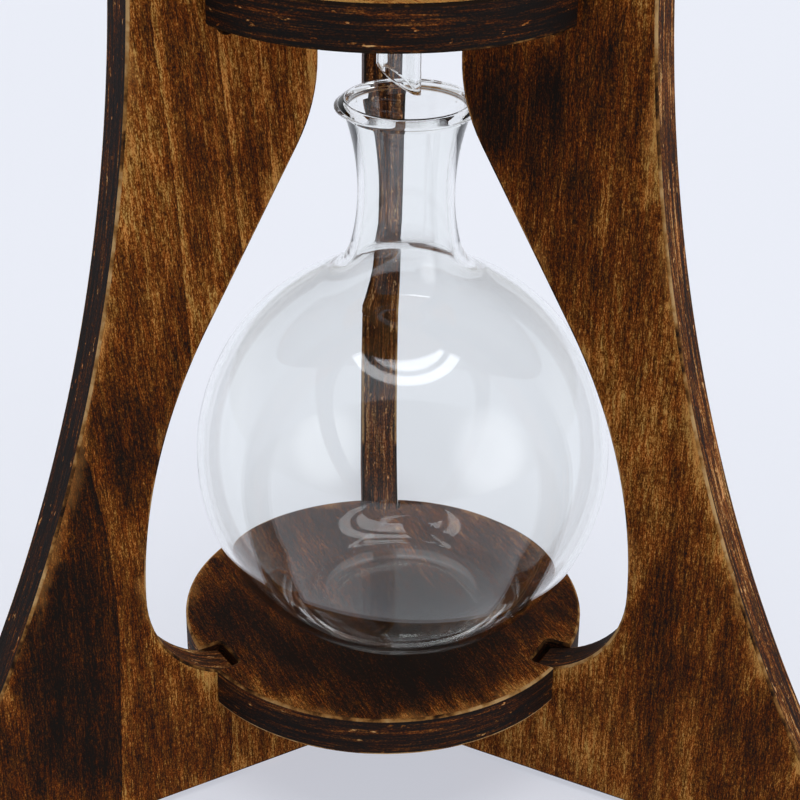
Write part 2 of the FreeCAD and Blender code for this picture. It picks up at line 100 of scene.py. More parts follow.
globe_z = upper_high.z + globe_seat_lip + math.sqrt(globe_radius ** 2 - globe_seat_bore ** 2)
claw_radius = globe_radius + claw_gap
leg_outer = claw_radius + claw_width
post_radius = leg_outer - post_width
window_radius = flask_radius + flask_x + window_gap
flare_height = middle_high.z + flare_rise
leg_azimuths = {"leg_back": 90, "leg_front_left": 210, "leg_front_right": 330}

# ---- fineness ----
LINE_STEP = 3 * MM
ARC_TURN = math.radians(9)
BEND_SHARES = [step / 8 for step in range(9)]       # of a rounded corner
ON_AXIS = 1e-6
GRID = 3.5 * MM                 # points inside a wooden face
SMOOTH_TURN = math.radians(4)
SEGMENTS = 160
FLASK_SEGMENTS = 224
ARRIS = 0.7 * MM                # sanded corner of the plywood
ARRIS_STEPS = 3
FACE_RINGS = (1.8 * MM, 4 * MM)       # rows of points inside the rim of a face
PLIES = 9
LEAN_START = 100 * MM         # the grain of a leg may lean above this height
LEAN_BEND = 30 * MM


class Outline:
    """A flat outline drawn edge by edge in short steps."""

    def __init__(self, x, y, turn=ARC_TURN, step=LINE_STEP):
        self.points = [Vector((x, y))]
        self.turn = turn
        self.step = step
        self.soft = []

    def soften(self, reach):
        """Mark the last corner for a rounding of the given reach."""
        if reach:
            self.soft.append((len(self.points) - 1, reach))

    def line(self, x, y, soft=0):
        """Draw a straight edge, whose end may be rounded."""
        here = self.points[-1]
        there = Vector((x, y))
        steps = max(1, round((there - here).length / self.step))
        self.points.extend(here.lerp(there, number / steps) for number in range(1, steps + 1))
        self.soften(soft)

    def lines(self, *corners):
        """Draw straight edges to corners of x, y and perhaps a reach."""
        for corner in corners:
            self.line(*corner)

    def arc(self, x, y, sweep, soft=0):
        """Draw an arc about a centre, anticlockwise if the angle is positive."""
        centre = Vector((x, y))
        spoke = self.points[-1] - centre
        steps = max(2, math.ceil(abs(sweep) / min(self.turn, self.step / max(spoke.length, ON_AXIS))))
        self.points.extend(centre + Matrix.Rotation(sweep * number / steps, 2) @ spoke
                           for number in range(1, steps + 1))
        self.soften(soft)

    def jog_down(self, x, bend):
        """Draw two equal arcs that shift a downward edge to another radius."""
        here = self.points[-1]
        side = math.copysign(1, x - here.x)
        sweep = side * math.acos(1 - abs(x - here.x) / (2 * bend))
        self.arc(here.x + side * bend, here.y, sweep)
        self.arc(x - side * bend, self.points[-1].y - bend * math.sin(abs(sweep)), -sweep)

    def rounded(self):
        """The points, with each marked corner replaced by a smooth bend."""
        points = list(self.points)
        for index, reach in reversed(self.soft):
            corner = points[index]
            before, start = walk(points, index, -1, reach)
            after, end = walk(points, index, 1, reach)
            points[before + 1:after] = [start.lerp(corner, share).lerp(corner.lerp(end, share), share)
                                        for share in BEND_SHARES]
        return points

    def closed(self):
        """The points of an outline that ends where it starts, without that repeat."""
        return self.rounded()[:-1]


def walk(points, index, step, reach):
    """Go from a corner by a length along the points: the next index and the place."""
    while 0 <= index + step < len(points):
        here, there = points[index], points[index + step]
        length = (there - here).length
        if length >= reach:
            return index + step, here.lerp(there, reach / length)
        reach -= length
        index += step
    return index, points[index]


def inset(points, distance):
    """Move a closed outline towards its left side."""
    moved = []
    for number, point in enumerate(points):
        into = (point - points[number - 1]).normalized()
        out = (points[(number + 1) % len(points)] - point).normalized()
        left = Vector((-into.y, into.x))
        middle = (left + Vector((-out.y, out.x))).normalized()
        moved.append(point + middle * distance / max(0.4, middle.dot(left)))
    return moved


# ---- materials ----
def linear(*screen):
    """Linear colour from screen values of 0 to 255, all of them over 10."""
    return (*(((value / 255 + 0.055) / 1.055) ** 2.4 for value in screen), 1)


def stops(*rows):
    """Stops of a ramp, each from a position and screen values."""
    return [(position, linear(*screen)) for position, *screen in rows]


class Nodes:
    """A node tree."""

    def __init__(self, tree):
        self.tree = tree

    def feed(self, socket, value):
        """Link a socket, or set its value."""
        if isinstance(value, bpy.types.NodeSocket):
            self.tree.links.new(value, socket)
        else:
            socket.default_value = value

    def node(self, kind, output, inputs, **settings):
        """Add a node with settings and inputs, and give one of its outputs."""
        node = self.tree.nodes.new("ShaderNode" + kind)
        for name, value in settings.items():
            setattr(node, name, value)
        for name, value in inputs.items():
            self.feed(node.inputs[name], value)
        return node.outputs[output]

    def attribute(self, name, output="Fac"):
        """Value that a mesh keeps at its vertices."""
        return self.node("Attribute", output, {}, attribute_name=name)

    def place(self, output="Object"):
        return self.node("TexCoord", output, {})

    def vectors(self, operation, output, first, second):
        return self.node("VectorMath", output, {0: first, 1: second}, operation=operation)

    def scaled(self, vector, *factors):
        return self.vectors("MULTIPLY", 0, vector, factors)

    def noise(self, vector, scale=1, detail=2, rough=0.5):
        inputs = {"Vector": vector, "Scale": scale, "Detail": detail, "Roughness": rough}
        return self.node("TexNoise", 0, inputs)

    def sums(self, operation, first, second=0, third=0, clamp=False):
        return self.node("Math", 0, {0: first, 1: second, 2: third}, operation=operation, use_clamp=clamp)

    def layered(self, value, *layers):
        """Add noises to a value, each given with how far it may shift it."""
        for noise, reach in layers:
            value = self.sums("ADD", value, self.step(noise, 0.25, 0.75, -reach, reach))
        return value

    def step(self, value, low, high, to_low=0, to_high=1):
        """Smooth step of a value between two limits."""
        inputs = {"Value": value, "From Min": low, "From Max": high, "To Min": to_low, "To Max": to_high}
        return self.node("MapRange", 0, inputs, interpolation_type="SMOOTHSTEP")

    def ramp(self, value, stops):
        """Colour of a value between stops of a position and a colour."""
        mixed = self.node("ValToRGB", 0, {0: value})
        elements = mixed.node.color_ramp.elements
        while len(elements) < len(stops):
            elements.new(0.5)
        for element, stop in zip(elements, stops):
            element.position, element.color = stop
        return mixed

    def mix(self, share, first, second, blend="MIX"):
        return self.node("Mix", 2, {0: share, 6: first, 7: second}, data_type="RGBA", blend_type=blend)


class Finish(Nodes):
    """A node material."""

    def __init__(self, name):
        self.material = bpy.data.materials.new(name)
        self.material.use_nodes = True
        super().__init__(self.material.node_tree)
        self.shader = self.tree.nodes["Principled BSDF"]

    def shade(self, **values):
        """Set or link the shader's own sockets, named with underscores."""
        for name, value in values.items():
            self.feed(self.shader.inputs[name.replace("_", " ")], value)

    def bump(self, height, strength, distance):
        inputs = {"Height": height, "Strength": strength, "Distance": distance}
        self.shade(Normal=self.node("Bump", 0, inputs))

    def plain(self, cloud, limits, marks, colours, roughness, bump, **values):
        """Colour that a cloud varies, with marks in the surface."""
        self.shade(Base_Color=self.ramp(cloud, stops(*zip(limits, *colours))),
                   Roughness=self.step(marks, 0.3, 0.7, *roughness), **values)
        self.bump(marks, *bump)
        return self.material


FACE_STOPS = stops((0, 200, 146, 80), (0.2, 152, 95, 38), (0.42, 106, 54, 18), (0.65, 69, 35, 14),
                   (0.85, 41, 24, 16), (1, 26, 20, 17))
RIM_STOPS = stops((0, 214, 168, 112), (0.2, 152, 98, 46), (0.45, 98, 54, 24), (0.7, 52, 32, 22),
                  (1, 29, 25, 23))
ARRIS_STOPS = stops((0, 34, 24, 17), (0.3, 92, 58, 27), (0.55, 148, 104, 54), (1, 190, 152, 102))
FACE_HUES = [(0.38, (1.1, 0.95, 0.84, 1)), (0.62, (0.91, 1.04, 1.02, 1))]
RIM_HUES = [(0.38, (1.14, 0.95, 0.86, 1)), (0.62, (0.92, 1.01, 1.06, 1))]
WORN_TINT = linear(166, 118, 64)
WAVE_PERIOD = 2 * math.pi / 20  # units between two bands of a wave texture of scale 1


def wood_face(name, darkness, contrast, through=0):
    """Scorched and brushed birch with soot, fibres, crisp flecks and long amber lines."""
    wood = Finish(name)
    grain = wood.attribute("grain", "Vector")

    def fibres(across, along, detail=2):
        """Noise with so many spots to the metre across and along the grain."""
        return wood.noise(wood.scaled(grain, across, across * through, along), detail=detail, rough=0.6)

    streaks = fibres(330, 34)
    flecks = fibres(2500, 560)
    grit = fibres(3400, 1700, 1)
    # The burn attribute is scorch, and on the middle shelf it also carries a painted sheen that lightens the
    # whole shelf.
    burn = wood.layered(wood.sums("ADD", wood.attribute("burn"), darkness),
                        (fibres(30, 13), 0.13), (fibres(120, 40, 3), 0.13), (streaks, 0.10),
                        (fibres(1200, 105), 0.17 * contrast), (flecks, 0.26 * contrast),
                        (grit, 0.2 * contrast))
    figure = wood.sums("SINE", wood.sums("MULTIPLY", fibres(14, 2.4, 1), 100))
    burn = wood.sums("MULTIPLY_ADD", figure, 0.05, burn)
    line = wood.sums("FRACT", wood.layered(wood.attribute("line"), (fibres(11, 7, 1), 0.1)))
    fading = wood.step(fibres(60, 8, 1), 0.32, 0.52)
    after, before = wood.step(line, 0, 0.07, 0.16, 0), wood.step(line, 0.8, 0.99, 0, 0.26)
    line = wood.sums("SUBTRACT", after, before)
    burn = wood.sums("MULTIPLY_ADD", line, fading, burn)
    patchy = wood.step(fibres(90, 45, 3), 0.32, 0.68, 0, 1.5)
    rubbed = wood.sums("MULTIPLY", wood.attribute("wear"), patchy)
    burn = wood.sums("MULTIPLY_ADD", rubbed, -0.36, burn, clamp=True)
    hue = wood.ramp(fibres(700, 110), FACE_HUES)
    colour = wood.mix(1, wood.ramp(burn, FACE_STOPS), hue, "MULTIPLY")
    colour = wood.mix(wood.step(rubbed, 0.3, 1.2, 0, 0.3), colour, WORN_TINT)
    wood.shade(Base_Color=colour, Roughness=wood.step(burn, 0.1, 1, 0.66, 0.5), Specular_IOR_Level=0.03)
    wood.bump(wood.sums("ADD", flecks, streaks), 0.3, 0.1 * MM)
    return wood.material


def wood_rim(name, darkness, contrast):
    """Sawn and scorched plywood edge with dark glue lines, streaks, specks and pale chips."""
    wood = Finish(name)
    grain = wood.attribute("grain", "Vector")
    inputs = {"Vector": wood.scaled(grain, 0, WAVE_PERIOD / (2 * ply / PLIES), 0), "Scale": 1,
              "Phase Offset": math.pi / 2}
    plies = wood.node("TexWave", "Fac", inputs, bands_direction="Y")
    glue = wood.sums("ABSOLUTE", wood.sums("SUBTRACT", plies, 0.5))

    def grains(along, through):
        """Noise with so many spots to the metre along and across the plies."""
        return wood.noise(wood.scaled(grain, along, through, along), rough=0.6)

    streaks = grains(55, 900)
    specks = grains(1400, 2800)
    burn = wood.layered(wood.sums("ADD", wood.attribute("burn"), darkness),
                        (grains(30, 160), 0.2 * contrast), (streaks, 0.26 * contrast),
                        (grains(160, 2400), 0.22 * contrast), (plies, 0.08 * contrast),
                        (specks, 0.26 * contrast))
    burn = wood.sums("ADD", burn, wood.step(glue, 0.06, 0.2, 0.14 * contrast, 0))
    chips = wood.step(grains(260, 650), 0.65, 0.7, 0, -0.6 * contrast)
    burn = wood.sums("ADD", burn, chips, clamp=True)
    hue = wood.ramp(grains(90, 700), RIM_HUES)
    wood.shade(Base_Color=wood.mix(1, wood.ramp(burn, RIM_STOPS), hue, "MULTIPLY"),
               Roughness=wood.step(burn, 0.1, 1, 0.75, 0.6), Specular_IOR_Level=0.04)
    wood.bump(wood.sums("ADD", streaks, specks), 0.5, 0.2 * MM)
    return wood.material


def wood_arris(name, darkness):
    """Rubbed corner of the plywood, tan where it is worn and dark elsewhere."""
    wood = Finish(name)
    grain = wood.attribute("grain", "Vector")
    chips = wood.noise(wood.scaled(grain, 260, 260, 260), detail=3, rough=0.65)
    runs = wood.noise(wood.scaled(grain, 45, 45, 45))
    wear = wood.sums("SUBTRACT", wood.attribute("wear"), darkness)
    wear = wood.layered(wear, (chips, 0.36), (runs, 0.5))
    wood.shade(Base_Color=wood.ramp(wear, ARRIS_STOPS), Roughness=0.7, Specular_IOR_Level=0.04)
    wood.bump(chips, 0.4, 0.15 * MM)
    return wood.material


def glass(name):
    """Clear blown glass with slight waves."""
    clear = Finish(name)
    clear.shade(Base_Color=linear(252, 253, 252), Roughness=0, Transmission_Weight=1, IOR=1.47)
    clear.bump(clear.noise(clear.place(), scale=38, detail=1), 0.06, 0.4 * MM)
    return clear.material


def dusty(name, scale, *looks, **values):
    """Soft plain finish with fine dust."""
    soft = Finish(name)
    dust = soft.noise(soft.place(), scale=scale, detail=3, rough=0.7)
    return soft.plain(dust, (0.35, 0.75), dust, *looks, **values)


def machined(name, stretch, grit, clouds, *looks, **values):
    """Hard plain finish with fine tool marks, stretched along an axis."""
    hard = Finish(name)
    cloud = hard.noise(hard.place(), scale=clouds, detail=2)
    marks = hard.noise(hard.scaled(hard.place(), *stretch), detail=2, rough=grit)
    return hard.plain(cloud, (0.3, 0.7), marks, *looks, **values)


def metal(name, colours, roughness):
    """Brushed metal with fine lines along X."""
    return machined(name, (90, 5200, 5200), 0.6, 160, colours, roughness, (0.15, 0.03 * MM), Metallic=1)


# Finishes of a plate's faces, rims and arrises.
LEG_FINISH = (wood_face("leg_face", 0.45, 1), wood_rim("leg_rim", 0.5, 1), wood_arris("leg_arris", 0.4))
SHELF_FINISH = (wood_face("shelf_face", 0.88, 1.1), wood_rim("shelf_rim", 0.88, 0.9),
                wood_arris("shelf_arris", 0.55))
KNOB_WOOD = wood_face("knob_wood", 0.45, 0.8, 1)
PLUG_WOOD = wood_face("plug_wood", 0.6, 0.8, 1)
GLASS = glass("flask_clear_glass")
# Plain finishes: their red, their green and their blue each go from a dark to a light value.
SILICONE = dusty("milky_silicone", 900, ((206, 232), (207, 232), (202, 228)), (0.38, 0.55),
                 (0.15, 0.05 * MM), Subsurface_Weight=0.35, Subsurface_Scale=2 * MM,
                 Transmission_Weight=0.12)
RUBBER = dusty("black_rubber", 1300, ((24, 48), (24, 47), (25, 46)), (0.62, 0.82), (0.3, 0.08 * MM),
               Specular_IOR_Level=0.3)
PLASTIC = machined("white_plastic", (300, 2600, 300), 0.5, 120, ((226, 240), (226, 240), (221, 236)),
                   (0.3, 0.46), (0.12, 0.04 * MM), Subsurface_Weight=0.15, Subsurface_Scale=1 * MM)
STEEL = metal("brushed_steel", ((168, 198), (170, 199), (172, 200)), (0.24, 0.4))
BRASS = metal("plain_brass", ((190, 222), (150, 184), (80, 108)), (0.22, 0.36))


# ---- meshes ----
FACE_SLOT, RIM_SLOT, ARRIS_SLOT = range(3)


def new_object(name, data):
    made = bpy.data.objects.new(name, data)
    scene.collection.objects.link(made)
    return made


def new_piece(name, mesh, materials, body, node):
    """Piece that rides on a body in place of a CAD node."""
    piece = new_object(name, mesh)
    for material in materials:
        mesh.materials.append(material)
    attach(piece, body)
    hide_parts(node)
    return piece


def glass_piece(name, mesh, body, node):
    """Piece of clear glass, which casts no shadow."""
    new_piece(name, mesh, [GLASS], body, node).visible_shadow = False


def burn_and_sheen_at(place, patches):
    """Depth of the scorching at a place on a face, from soft patches in mm; on the middle shelf a wide patch
    paints a sheen by lightening it.
    """
    total = 0
    for across, along, wide, long, depth in patches:
        aside = (place.x / MM - across) / wide
        ahead = (place.y / MM - along) / long
        total += depth * math.exp(-aside ** 2 - ahead ** 2)
    return total


def line_at(x, lines):
    """Place between amber lines: a whole number on a line, a half if there are none."""
    if not lines:
        return 0.5
    number = max(1, min(len(lines) - 1, sum(x > line * MM for line in lines)))
    low, high = lines[number - 1] * MM, lines[number] * MM
    return number + (x - low) / (high - low)


def search_tree(points):
    """Tree that finds the nearest of some flat points."""
    tree = KDTree(len(points))
    for number, point in enumerate(points):
        tree.insert(point.to_3d(), number)
    tree.balance()
    return tree


def wear_at(point, worn_edges):
    """Wear at a point, which fades away from the worn edges."""
    return max(strength * math.exp(-tree.find(point.to_3d())[2] / (width * MM))
               for tree, width, strength in worn_edges)


def face_mesh(loops, ease):
    """Points and triangles of a flat face: first the rim, then rows and a grid."""
    boundary, normals, flat, edges = [], [], [], []
    for loop in loops:
        inner = inset(loop, ease)
        boundary.extend(loop)
        normals.extend((moved - point).normalized() for point, moved in zip(loop, inner))
        start, count = len(flat), len(inner)
        flat.extend(inner)
        edges.extend((start + number, start + (number + 1) % count) for number in range(count))
    tree = search_tree(boundary)

    def room(point):
        """Distance from the outline, negative outside it."""
        _, number, distance = tree.find(point.to_3d())
        side = (point - boundary[number]).dot(normals[number])
        return distance if side > 0 else -distance

    for loop in loops:
        for ring in FACE_RINGS:
            flat.extend(p for p in inset(loop, ease + ring)[::2] if room(p) > (ease + ring) * 0.8)
    across, along = zip(*boundary)
    low = Vector((min(across), min(along)))
    for column in range(int((max(across) - low.x) / GRID)):
        for row in range(int((max(along) - low.y) / GRID)):
            point = low + Vector(((column + 0.5 + 0.5 * (row % 2)) * GRID, (row + 0.5) * GRID))
            if room(point) > ease + FACE_RINGS[-1] + GRID / 3:
                flat.append(point)
    points, _, triangles, _, _, _ = delaunay_2d_cdt(flat, edges, [], 2, 1e-9)
    return points, triangles


def plate_mesh(name, loops, thickness, basis, wear_edges, patches, rim_burn, seed,
               lines=(), lean=0, ease=ARRIS):
    """Plywood plate with a sanded arris all round.

    Loops are closed outlines with the wood on their left: the first goes round, the others are holes.
    basis holds the vectors across, along, through and to the centre.  wear_edges are (test, width,
    strength), and rim_burn gives the scorch at a point of the outline.
    """
    points, triangles = face_mesh(loops, ease)
    outline = sum(loops, [])
    worn_edges = [(search_tree([p for p in outline if test(p)]), width, strength)
                  for test, width, strength in wear_edges]
    mesh = bmesh.new()
    grain = mesh.verts.layers.float_vector.new("grain")
    burn, wear, line = (mesh.verts.layers.float.new(layer) for layer in ("burn", "wear", "line"))
    across, along, through, centre = basis

    def vertex(point, level, scorch=None):
        made = mesh.verts.new(centre + across * point.x + along * point.y + through * level)
        above = point.y - LEAN_START
        leaning = lean * (above + math.hypot(above, LEAN_BEND)) / 2
        made[grain] = (point.x - leaning + seed * 0.31, level + thickness / 2, point.y + seed * 0.47)
        made[burn] = burn_and_sheen_at(point, patches) if scorch is None else scorch
        made[wear] = wear_at(point, worn_edges)
        made[line] = line_at(point.x - leaning, lines)
        return made

    for side in (1, -1):
        made = [vertex(point, side * thickness / 2) for point in points]
        for triangle in triangles:
            corners = [made[number] for number in triangle[::side]]
            mesh.faces.new(corners).material_index = FACE_SLOT
        start = 0
        for loop in loops:
            rows = [made[start:start + len(loop)]]
            start += len(loop)
            for number in range(1, ARRIS_STEPS + 1):
                angle = number / ARRIS_STEPS * math.pi / 2
                level = side * (thickness / 2 - ease + ease * math.cos(angle))
                rows.append([vertex(p, level) for p in inset(loop, ease * (1 - math.sin(angle)))])
            if side > 0:
                levels = [thickness / 2 - ease, 0, ease - thickness / 2]
                wall = [[vertex(p, level, rim_burn(p)) for p in loop] for level in levels]
                for upper, lower in zip(wall, wall[1:]):
                    band(mesh, upper, lower, RIM_SLOT, side)
            for outer, inner in zip(rows, rows[1:]):
                band(mesh, outer, inner, ARRIS_SLOT, side)
    bmesh.ops.delete(mesh, geom=[v for v in mesh.verts if not v.link_faces], context="VERTS")
    return smooth_mesh(name, mesh, 40)


def band(mesh, upper, lower, index, side):
    """Ring of quads between two closed rows of vertices, flipped if the side is -1."""
    for number in range(len(upper)):
        corners = [upper[number - 1], lower[number - 1], lower[number], upper[number]]
        mesh.faces.new(corners[::side]).material_index = index


def smooth_mesh(name, mesh, sharp):
    """Smooth mesh data of a bmesh, sharp at edges over an angle in degrees."""
    for face in mesh.faces:
        face.smooth = True
    data = bpy.data.meshes.new(name)
    mesh.to_mesh(data)
    mesh.free()
    data.set_sharp_from_angle(angle=math.radians(sharp))
    return data


def turned_mesh(name, points, centre=0, segments=SEGMENTS, shear=None):
    """Outline of radius and height turned about an upright axis at a place on X, then sheared."""
    mesh = bmesh.new()
    grain = mesh.verts.layers.float_vector.new("grain")
    rows = []
    for point in points:
        row = []
        for number in range(segments if point.x > ON_AXIS else 1):
            angle = 2 * math.pi * number / segments
            x, y = point.x * math.cos(angle), point.x * math.sin(angle)
            height = point.y + (shear(x, point.y) if shear else 0)
            made = mesh.verts.new((centre + x, y, height))
            made[grain] = (x, y, height)
            row.append(made)
        rows.append(row)
    for lower, upper in zip(rows, rows[1:] + rows[:1]):
        for number in range(segments if len(lower) + len(upper) > 2 else 0):
            after = (number + 1) % segments
            corners = [lower[number % len(lower)], lower[after % len(lower)],
                       upper[after % len(upper)], upper[number % len(upper)]]
            mesh.faces.new(list(dict.fromkeys(corners)))
    bmesh.ops.recalc_face_normals(mesh, faces=mesh.faces)
    return smooth_mesh(name, mesh, 50)


def turned_piece(name, points, material, body, node, centre=0):
    """Piece of one material, turned about an upright axis."""
    new_piece(name, turned_mesh(name, points, centre), [material], body, node)


def combined_mesh(name, meshes, cuts):
    """Join solids into one and cut others out of it."""
    objects = [new_object(name, mesh) for mesh in meshes + cuts]
    for number, item in enumerate(objects[1:], 1):
        step = objects[0].modifiers.new("step", "BOOLEAN")
        step.operation = "UNION" if number < len(meshes) else "DIFFERENCE"
        step.solver = "EXACT"
        step.object = item
    solid = objects[0].evaluated_get(bpy.context.evaluated_depsgraph_get())
    data = bpy.data.meshes.new_from_object(solid)
    for item in objects:
        bpy.data.objects.remove(item)
    data.set_sharp_from_angle(angle=math.radians(35))
    return data


# ---- plywood frame ----
def notch_of(radius):
    """Radius of the inner end of the notch that takes a shelf."""
    return radius - lap_depth


def shelf_notch(leg, notch, low, high):
    """Draw a shelf's notch downwards, with round tool reliefs in its corners."""
    lift = math.asin(slot_air / relief_radius)
    leg.line(notch - relief_radius * math.cos(lift), high + slot_air)
    leg.arc(notch, high, lift - math.radians(270))
    leg.line(notch, low + relief_radius)
    leg.arc(notch, low, -math.radians(270))


def leg_outline():
    """Side view of a leg, up its outer edge and back down its inner edge."""
    bottom = leg_low.z
    rise = flare_height - bottom - toe_round
    sweep_radius = leg_outer + foot_sweep
    foot_angle = math.asin(rise / (foot_sweep + toe_round))
    toe = sweep_radius - (foot_sweep + toe_round) * math.cos(foot_angle)
    leg = Outline(nose_reach, bottom)
    leg.line(toe, bottom)
    leg.arc(toe, bottom + toe_round, foot_angle + math.pi / 2)
    leg.arc(sweep_radius, flare_height, -foot_angle)
    leg.line(leg_outer, globe_z + claw_rise)
    leg.arc(claw_radius + claw_width / 2, globe_z + claw_rise, math.pi)
    leg.line(claw_radius, globe_z)
    notch = notch_of(upper_high.x)
    crest = notch - crest_width
    leg.arc(0, globe_z, -math.acos(crest / claw_radius))
    leg.line(crest, upper_high.z + slot_air)
    shelf_notch(leg, notch, upper_low.z, upper_high.z)
    leg.lines((notch - brow_width, upper_low.z), (notch - brow_width, upper_low.z - brow_height))
    leg.jog_down(post_radius, post_bend)
    notch = notch_of(middle_high.x)
    jaw = notch - jaw_width
    jog = post_bend * math.sin(math.acos(1 - (post_radius - jaw) / (2 * post_bend)))
    leg.line(post_radius, middle_high.z + jaw_height + 2 * jog)
    leg.jog_down(jaw, post_bend)
    leg.line(jaw, middle_high.z + slot_air)
    shelf_notch(leg, notch, middle_low.z, middle_high.z)
    leg.lines((nose_reach, middle_low.z), (nose_reach, middle_low.z - nose_depth))
    flask_window(leg)
    leg.lines((notch_of(lower_high.x), lower_low.z), (nose_reach, lower_low.z), (nose_reach, bottom))
    return leg.closed()


def flask_window(leg):
    """Draw the inner edge beside the flask: nose, straight slope, long curve, corner."""
    nose = Vector((nose_reach + nose_round, middle_low.z - nose_depth))
    corner_radius = window_radius - window_corner
    sill = lower_high.x + sill_step - corner_radius
    widest = lower_high.z + math.sqrt(window_corner ** 2 - sill ** 2)
    sweep = Vector((window_radius - window_sweep, widest))
    apart = nose - sweep
    slope = math.atan2(apart.y, apart.x) - math.acos((nose_round + window_sweep) / apart.length)
    leg.arc(nose.x, nose.y, slope)
    leg.line(sweep.x + window_sweep * math.cos(slope), widest + window_sweep * math.sin(slope))
    leg.arc(sweep.x, widest, -slope)
    leg.arc(corner_radius, widest, -math.acos((notch_of(lower_high.x) - corner_radius) / window_corner))


# Scorched patches on the back, the front left and the front right leg: radius, height, half width and
# half height in mm, and depth.
LEG_BURNS = (
    [(60, 300, 900, 900, 0.16), (30, 60, 25, 90, 0.2), (60, 330, 20, 120, 0.2), (66, 520, 14, 60, 0.15)],
    [(84, 118, 36, 32, 0.34), (92, 142, 22, 20, 0.08), (105, 64, 15, 46, 0.64), (117, 34, 15, 22, 0.2),
     (85, 22, 34, 16, 0.14), (66, 38, 10, 26, -0.2), (60, 330, 18, 90, 0.12), (66, 500, 16, 70, 0.14)],
    [(60, 300, 900, 900, 0.04), (38, 206, 20, 22, 0.34), (62, 216, 20, 18, 0.16), (66, 172, 18, 20, 0.1),
     (80, 137, 14, 26, -0.14), (87, 66, 12, 18, 0.18), (107, 46, 14, 13, 0.18), (74, 17, 30, 12, -0.2),
     (60, 330, 18, 90, 0.16), (66, 500, 16, 70, 0.1)],
)
# Scorch of their outer and inner rim, lean of the grain, radii of the amber lines in mm, and wear
# beside the flask.
LEG_RIM_BURN = ((0.08, 0.08), (0.4, 0), (0.02, 0.36))
LEG_LEAN = (0.02, 0.1, 0)
LEG_LINES = ((32, 58, 84, 120), (15, 28.5, 39.3, 56, 91.5, 160), ())
WINDOW_WEAR = (0.1, 0.8, 0.8)
ON_RIM = 0.5 * MM               # a point this near an edge lies on it


def make_legs():
    """Three legs of one outline, each with its own scorching and grain."""
    outline = leg_outline()

    def outer_edge(point):
        return point.x > leg_outer - ON_RIM and point.y > leg_low.z + 4 * ON_RIM

    for number, (node, azimuth) in enumerate(leg_azimuths.items()):
        turned = Matrix.Rotation(math.radians(azimuth), 3, "Z") @ Matrix.Rotation(math.pi / 2, 3, "X")
        basis = (*turned.col, Vector())
        edges = [       # the outer edge, beside the flask, the foot and inside the post
            (outer_edge, 3, 1.1),
            (lambda p: p.x < window_radius + 2 * ON_RIM and lower_high.z < p.y < middle_low.z - 4 * ON_RIM,
             4.5, WINDOW_WEAR[number]),
            (lambda p: p.y < leg_low.z + 2 * ON_RIM, 7, 0.5),
            (lambda p: p.x < leg_outer - 2 * ON_RIM and p.y > middle_high.z, 3, 0.6),
        ]
        outer_burn, inner_burn = LEG_RIM_BURN[number]

        def rim_burn(point):
            return outer_burn if outer_edge(point) else inner_burn

        mesh = plate_mesh(node + "_wood", [outline], ply, basis, edges, LEG_BURNS[number], rim_burn,
                          number, LEG_LINES[number], LEG_LEAN[number])
        new_piece(node + "_wood", mesh, LEG_FINISH, "frame", node)


def shelf_outline(radius, turn):
    """Round shelf with a slot for each leg, in a frame turned by an angle."""
    half = ply / 2 + slot_air
    end = notch_of(radius)
    reach = math.sqrt(radius ** 2 - half ** 2)
    gap = math.asin(half / radius)
    slot = Outline(reach, -half)
    slot.line(end, -half)
    slot.arc(end, slot_corner - half, -math.pi / 2)
    slot.line(end - slot_corner, half - slot_corner)
    slot.arc(end, half - slot_corner, -math.pi / 2)
    slot.line(reach, half)
    points = []
    for azimuth in leg_azimuths.values():
        spin = Matrix.Rotation(math.radians(azimuth) - turn, 2)
        points.extend(spin @ p for p in slot.points)
        rim = Outline(*(spin @ Vector((reach, half))))
        rim.arc(0, 0, math.radians(120) - 2 * gap)
        points.extend(rim.points[1:-1])
    return points


def circle(x, y, radius, sweep=-2 * math.pi):
    """Circle, which is clockwise for a hole."""
    ring = Outline(x + radius, y)
    ring.arc(x, y, sweep)
    return ring.closed()


def level_basis(low, high, turn=0):
    """Vectors across, along, through and to the centre of a level plate."""
    return (*Matrix.Rotation(turn, 3, "Z").col, Vector((0, 0, (low.z + high.z) / 2)))


def make_shelf(node, low, high, grain_azimuth, hole, patches, rim_burn, seed, wear):
    """Round shelf, with a hole given as its centre on X and its radius."""
    turn = math.radians(grain_azimuth) - math.pi / 2
    loops = [shelf_outline(high.x, turn)]
    if hole:
        place = Matrix.Rotation(-turn, 2) @ Vector((hole[0], 0))
        loops.append(circle(place.x, place.y, hole[1]))
    edges = [(lambda point: point.length > high.x - slot_wear_reach, 2, wear * 0.6),
             (lambda point: point.length > high.x - ON_RIM, 3.6, wear)]
    mesh = plate_mesh(node + "_wood", loops, high.z - low.z, level_basis(low, high, turn), edges, patches,
                      lambda point: rim_burn, seed)
    new_piece(node + "_wood", mesh, SHELF_FINISH, "frame", node)


# Scorched patches on the shelves, with a painted sheen on the middle shelf: place across and along the grain
# and half sizes in mm, and depth.
LOWER_BURNS = [(12, 36, 34, 30, 0.14), (-34, 44, 16, 14, -0.3), (58, 25, 20, 18, -0.3),
               (-8, -32, 44, 26, -0.26), (-55, -20, 18, 26, -0.16), (-10, 55, 28, 7, -0.34),
               (44, 36, 16, 8, -0.26), (0, 14, 30, 16, 0.1)]
# The first middle patch lightens the whole middle shelf: a painted sheen of light on its top, over its own
# scorch.
MIDDLE_BURNS_AND_SHEEN = [(0, 0, 120, 120, -1), (53, 17, 22, 26, -0.22)]
UPPER_BURNS = [(0, 0, 120, 120, -0.4)]
slot_wear_reach = 12 * MM


